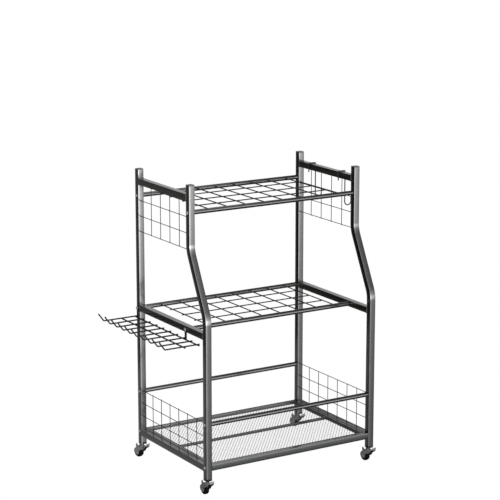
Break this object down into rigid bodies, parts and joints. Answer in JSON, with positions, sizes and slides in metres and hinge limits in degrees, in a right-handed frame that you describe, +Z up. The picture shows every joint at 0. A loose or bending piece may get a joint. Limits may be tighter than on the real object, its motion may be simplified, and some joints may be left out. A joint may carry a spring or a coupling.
{
  "type": "garden tool rack",
  "caption": "Freestanding rolling rack for garden tools: side frames of square tube, wire shelves that hold long handles upright, guard bars, a mesh tray, a side rack of hooks and hanging hooks.",
  "frame": {"origin": "centre of the rack's outer box, on the floor", "axes": "+Z up, +X towards the rack's right side as seen from its front, -Y towards its front"},
  "size_m": [0.8578, 0.5128, 1.029],
  "materials": {
    "frame_coat": "semi-gloss powder coat, dark pewter grey",
    "wire_coat": "semi-gloss powder coat, charcoal",
    "zinc": "zinc-plated pressed steel",
    "bolt": "bright zinc-plated steel",
    "wheel": "matte black",
    "cap": "matte plastic, pewter grey like the tubes"
  },
  "bodies": {
    "frame": {"rear_post_left": "frame_coat", "front_post_left": "frame_coat", "top_rail_left": "frame_coat", "mid_rail_left": "frame_coat", "bottom_rail_left": "frame_coat", "upper_panel_left": "wire_coat", "lower_panel_left": "wire_coat", "rear_cap_left": "cap", "front_cap_left": "cap", "rear_post_right": "frame_coat", "front_post_right": "frame_coat", "top_rail_right": "frame_coat", "mid_rail_right": "frame_coat", "bottom_rail_right": "frame_coat", "upper_panel_right": "wire_coat", "lower_panel_right": "wire_coat", "rear_cap_right": "cap", "front_cap_right": "cap", "top_shelf_rear_bar": "frame_coat", "top_shelf_front_bar": "frame_coat", "top_shelf_grid": "wire_coat", "mid_shelf_rear_bar": "frame_coat", "mid_shelf_front_bar": "frame_coat", "mid_shelf_grid": "wire_coat", "rear_guard_bar": "frame_coat", "front_guard_bar": "frame_coat", "tray_frame": "frame_coat", "tray_mesh": "wire_coat", "tray_centre_bar": "frame_coat", "bolt_top_shelf_rear_left": "bolt", "bolt_top_shelf_front_left": "bolt", "bolt_mid_shelf_rear_left": "bolt", "bolt_mid_shelf_front_left": "bolt", "bolt_guard_front_left": "bolt", "bolt_guard_rear_left": "bolt", "bolt_tray_front_left": "bolt", "bolt_tray_rear_left": "bolt", "bolt_top_shelf_rear_right": "bolt", "bolt_top_shelf_front_right": "bolt", "bolt_mid_shelf_rear_right": "bolt", "bolt_mid_shelf_front_right": "bolt", "bolt_guard_front_right": "bolt", "bolt_guard_rear_right": "bolt", "bolt_tray_front_right": "bolt", "bolt_tray_rear_right": "bolt", "hook_rack": "wire_coat"},
    "rear_hook": {"s_hook_rear": "wire_coat"},
    "front_hook": {"s_hook_front": "wire_coat"},
    "swivel_front_left": {"fork_front_left": "zinc"},
    "roller_front_left": {"wheel_front_left": "wheel"},
    "pedal_front_left": {"brake_front_left": "zinc"},
    "swivel_rear_left": {"fork_rear_left": "zinc"},
    "roller_rear_left": {"wheel_rear_left": "wheel"},
    "pedal_rear_left": {"brake_rear_left": "zinc"},
    "swivel_front_right": {"fork_front_right": "zinc"},
    "roller_front_right": {"wheel_front_right": "wheel"},
    "pedal_front_right": {"brake_front_right": "zinc"},
    "swivel_rear_right": {"fork_rear_right": "zinc"},
    "roller_rear_right": {"wheel_rear_right": "wheel"},
    "pedal_rear_right": {"brake_rear_right": "zinc"}
  },
  "joints": [
    {"name": "rear_hook_slide", "type": "slide", "parent": "frame", "child": "rear_hook", "axis": [0, 1, 0], "range_m": [-0.09, 0.065]},
    {"name": "front_hook_slide", "type": "slide", "parent": "frame", "child": "front_hook", "axis": [0, 1, 0], "range_m": [-0.068, 0.089]},
    {"name": "caster_turn_front_left", "type": "hinge", "parent": "frame", "child": "swivel_front_left", "pos_m": [-0.26313, -0.22827, 0.0515], "axis": [0, 0, 1], "continuous": true},
    {"name": "wheel_roll_front_left", "type": "hinge", "parent": "swivel_front_left", "child": "roller_front_left", "pos_m": [-0.26405, -0.21079, 0.01778], "axis": [0.9986, 0.0523, 0], "continuous": true},
    {"name": "brake_press_front_left", "type": "hinge", "parent": "swivel_front_left", "child": "pedal_front_left", "pos_m": [-0.26276, -0.23526, 0.0355], "axis": [0.9986, 0.0523, 0], "range_deg": [0, 12]},
    {"name": "caster_turn_rear_left", "type": "hinge", "parent": "frame", "child": "swivel_rear_left", "pos_m": [-0.26313, 0.22173, 0.0515], "axis": [0, 0, 1], "continuous": true},
    {"name": "wheel_roll_rear_left", "type": "hinge", "parent": "swivel_rear_left", "child": "roller_rear_left", "pos_m": [-0.26911, 0.23818, 0.01778], "axis": [0.9397, 0.342, 0], "continuous": true},
    {"name": "brake_press_rear_left", "type": "hinge", "parent": "swivel_rear_left", "child": "pedal_rear_left", "pos_m": [-0.26074, 0.21515, 0.0355], "axis": [0.9397, 0.342, 0], "range_deg": [0, 12]},
    {"name": "caster_turn_front_right", "type": "hinge", "parent": "frame", "child": "swivel_front_right", "pos_m": [0.38687, -0.22827, 0.0515], "axis": [0, 0, 1], "continuous": true},
    {"name": "wheel_roll_front_right", "type": "hinge", "parent": "swivel_front_right", "child": "roller_front_right", "pos_m": [0.38383, -0.21104, 0.01778], "axis": [0.9848, 0.1736, 0], "continuous": true},
    {"name": "brake_press_front_right", "type": "hinge", "parent": "swivel_front_right", "child": "pedal_front_right", "pos_m": [0.38809, -0.23516, 0.0355], "axis": [0.9848, 0.1736, 0], "range_deg": [0, 12]},
    {"name": "caster_turn_rear_right", "type": "hinge", "parent": "frame", "child": "swivel_rear_right", "pos_m": [0.38687, 0.22173, 0.0515], "axis": [0, 0, 1], "continuous": true},
    {"name": "wheel_roll_rear_right", "type": "hinge", "parent": "swivel_rear_right", "child": "roller_rear_right", "pos_m": [0.38088, 0.23818, 0.01778], "axis": [0.9397, 0.342, 0], "continuous": true},
    {"name": "brake_press_rear_right", "type": "hinge", "parent": "swivel_rear_right", "child": "pedal_rear_right", "pos_m": [0.38926, 0.21515, 0.0355], "axis": [0.9397, 0.342, 0], "range_deg": [0, 12]}
  ]
}
